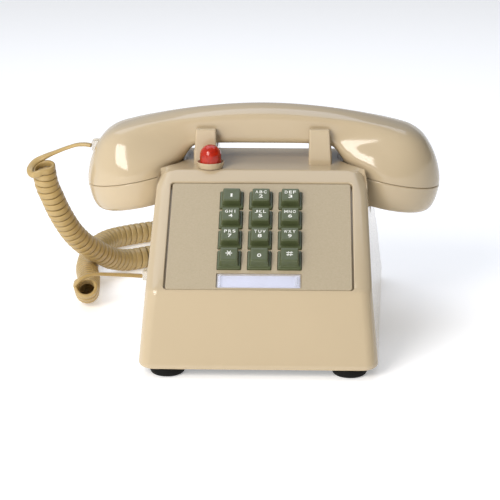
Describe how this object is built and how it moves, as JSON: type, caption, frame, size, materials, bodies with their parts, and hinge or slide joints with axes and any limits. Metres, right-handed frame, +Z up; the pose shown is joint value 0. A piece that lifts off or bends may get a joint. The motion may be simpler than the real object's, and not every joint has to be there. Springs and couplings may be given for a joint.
{
  "type": "corded desk telephone",
  "caption": "Push-button desk telephone with a lift-off handset, cradle posts, coiled handset cord, message lamp and rubber feet.",
  "frame": {"origin": "middle of the footprint at desk level, without the handset cord", "axes": "+X to the user's right along the handset, -Y towards the user, +Z up"},
  "size_m": [0.2569, 0.2977, 0.1339],
  "materials": {
    "sand_abs": "moulded, polished",
    "textured_sand_abs": "moulded with a fine pebble texture",
    "olive_abs": "moulded, semi-gloss",
    "rubber": "moulded",
    "painted_steel": "pressed and painted",
    "plated_steel": "zinc plated",
    "brass": "spun",
    "black_nylon": "moulded",
    "circuit_board": "laminate",
    "card": "printed card, blank",
    "clear_plastic": "clear moulded",
    "red_lens": "clear red, ribbed inside",
    "coil_winding": "enamelled copper wire",
    "cord_vinyl": "extruded flat vinyl jacket"
  },
  "bodies": {
    "base": {"housing": "sand_abs", "base_plate": "painted_steel", "foot_front_left": "rubber", "foot_front_right": "rubber", "foot_rear_left": "rubber", "foot_rear_right": "rubber", "housing_screw_left": "plated_steel", "housing_screw_right": "plated_steel", "faceplate": "textured_sand_abs", "designation_card": "card", "designation_window": "clear_plastic", "keypad_frame": "black_nylon", "keypad_board": "circuit_board", "lamp_collar": "sand_abs", "lamp_lens": "red_lens", "lamp_bulb": "clear_plastic", "hook_switch_bracket": "plated_steel", "hook_switch_contacts": "black_nylon", "ringer_frame": "plated_steel", "ringer_coil": "coil_winding", "gong_left": "brass", "gong_right": "brass", "gong_screw_left": "plated_steel", "gong_screw_right": "plated_steel", "network_block": "black_nylon", "handset_jack": "black_nylon", "line_jack": "black_nylon", "cord_plug_base": "clear_plastic", "cord_lead_base": "cord_vinyl", "cord_coil": "cord_vinyl"},
    "handset": {"handset_shell": "sand_abs", "handset_weight": "plated_steel", "transmitter_cap": "sand_abs", "receiver_cap": "sand_abs", "transmitter_unit": "plated_steel", "receiver_unit": "plated_steel", "transmitter_cup": "black_nylon", "cord_plug_handset": "clear_plastic", "cord_lead_handset": "cord_vinyl"},
    "left_plunger": {"plunger_left": "black_nylon"},
    "right_plunger": {"plunger_right": "black_nylon"},
    "switch_lever": {"hook_lever": "plated_steel"},
    "ringer_clapper": {"clapper": "brass"},
    "ringer_volume_wheel": {"volume_wheel": "black_nylon"},
    "key_1_button": {"key_1": "olive_abs"},
    "key_2_button": {"key_2": "olive_abs"},
    "key_3_button": {"key_3": "olive_abs"},
    "key_4_button": {"key_4": "olive_abs"},
    "key_5_button": {"key_5": "olive_abs"},
    "key_6_button": {"key_6": "olive_abs"},
    "key_7_button": {"key_7": "olive_abs"},
    "key_8_button": {"key_8": "olive_abs"},
    "key_9_button": {"key_9": "olive_abs"},
    "key_star_button": {"key_star": "olive_abs"},
    "key_0_button": {"key_0": "olive_abs"},
    "key_hash_button": {"key_hash": "olive_abs"}
  },
  "joints": [
    {"name": "handset_lift", "type": "slide", "parent": "base", "child": "handset", "axis": [0, 0, 1], "range_m": [0, 0.08]},
    {"name": "plunger_left_rise", "type": "slide", "parent": "base", "child": "left_plunger", "axis": [0, 0, 1], "range_m": [0, 0.005]},
    {"name": "plunger_right_rise", "type": "slide", "parent": "base", "child": "right_plunger", "axis": [0, 0, 1], "range_m": [0, 0.005]},
    {"name": "hook_lever_swing", "type": "hinge", "parent": "base", "child": "switch_lever", "pos_m": [0, 0.052, 0.0795], "axis": [-1, 0, 0], "range_deg": [0, 10.1]},
    {"name": "clapper_swing", "type": "hinge", "parent": "base", "child": "ringer_clapper", "pos_m": [0, -0.027, 0.02], "axis": [0, 0, 1], "range_deg": [-6, 6]},
    {"name": "volume_wheel_turn", "type": "hinge", "parent": "base", "child": "ringer_volume_wheel", "pos_m": [0.05, -0.012, 0.012], "axis": [0, 1, 0], "range_deg": [0, 120]},
    {"name": "key_1_press", "type": "slide", "parent": "base", "child": "key_1_button", "axis": [0, 0.549, -0.8358], "range_m": [0, 0.003], "stiffness_N_per_m": 300, "springref_m": -0.001},
    {"name": "key_2_press", "type": "slide", "parent": "base", "child": "key_2_button", "axis": [0, 0.549, -0.8358], "range_m": [0, 0.003], "stiffness_N_per_m": 300, "springref_m": -0.001},
    {"name": "key_3_press", "type": "slide", "parent": "base", "child": "key_3_button", "axis": [0, 0.549, -0.8358], "range_m": [0, 0.003], "stiffness_N_per_m": 300, "springref_m": -0.001},
    {"name": "key_4_press", "type": "slide", "parent": "base", "child": "key_4_button", "axis": [0, 0.549, -0.8358], "range_m": [0, 0.003], "stiffness_N_per_m": 300, "springref_m": -0.001},
    {"name": "key_5_press", "type": "slide", "parent": "base", "child": "key_5_button", "axis": [0, 0.549, -0.8358], "range_m": [0, 0.003], "stiffness_N_per_m": 300, "springref_m": -0.001},
    {"name": "key_6_press", "type": "slide", "parent": "base", "child": "key_6_button", "axis": [0, 0.549, -0.8358], "range_m": [0, 0.003], "stiffness_N_per_m": 300, "springref_m": -0.001},
    {"name": "key_7_press", "type": "slide", "parent": "base", "child": "key_7_button", "axis": [0, 0.549, -0.8358], "range_m": [0, 0.003], "stiffness_N_per_m": 300, "springref_m": -0.001},
    {"name": "key_8_press", "type": "slide", "parent": "base", "child": "key_8_button", "axis": [0, 0.549, -0.8358], "range_m": [0, 0.003], "stiffness_N_per_m": 300, "springref_m": -0.001},
    {"name": "key_9_press", "type": "slide", "parent": "base", "child": "key_9_button", "axis": [0, 0.549, -0.8358], "range_m": [0, 0.003], "stiffness_N_per_m": 300, "springref_m": -0.001},
    {"name": "key_star_press", "type": "slide", "parent": "base", "child": "key_star_button", "axis": [0, 0.549, -0.8358], "range_m": [0, 0.003], "stiffness_N_per_m": 300, "springref_m": -0.001},
    {"name": "key_0_press", "type": "slide", "parent": "base", "child": "key_0_button", "axis": [0, 0.549, -0.8358], "range_m": [0, 0.003], "stiffness_N_per_m": 300, "springref_m": -0.001},
    {"name": "key_hash_press", "type": "slide", "parent": "base", "child": "key_hash_button", "axis": [0, 0.549, -0.8358], "range_m": [0, 0.003], "stiffness_N_per_m": 300, "springref_m": -0.001}
  ],
  "couplings": [
    {"joint": "plunger_left_rise", "follows": "handset_lift", "ratio": 0.0625},
    {"joint": "plunger_right_rise", "follows": "handset_lift", "ratio": 0.0625},
    {"joint": "hook_lever_swing", "follows": "handset_lift", "rad_per_m": 2.18}
  ]
}
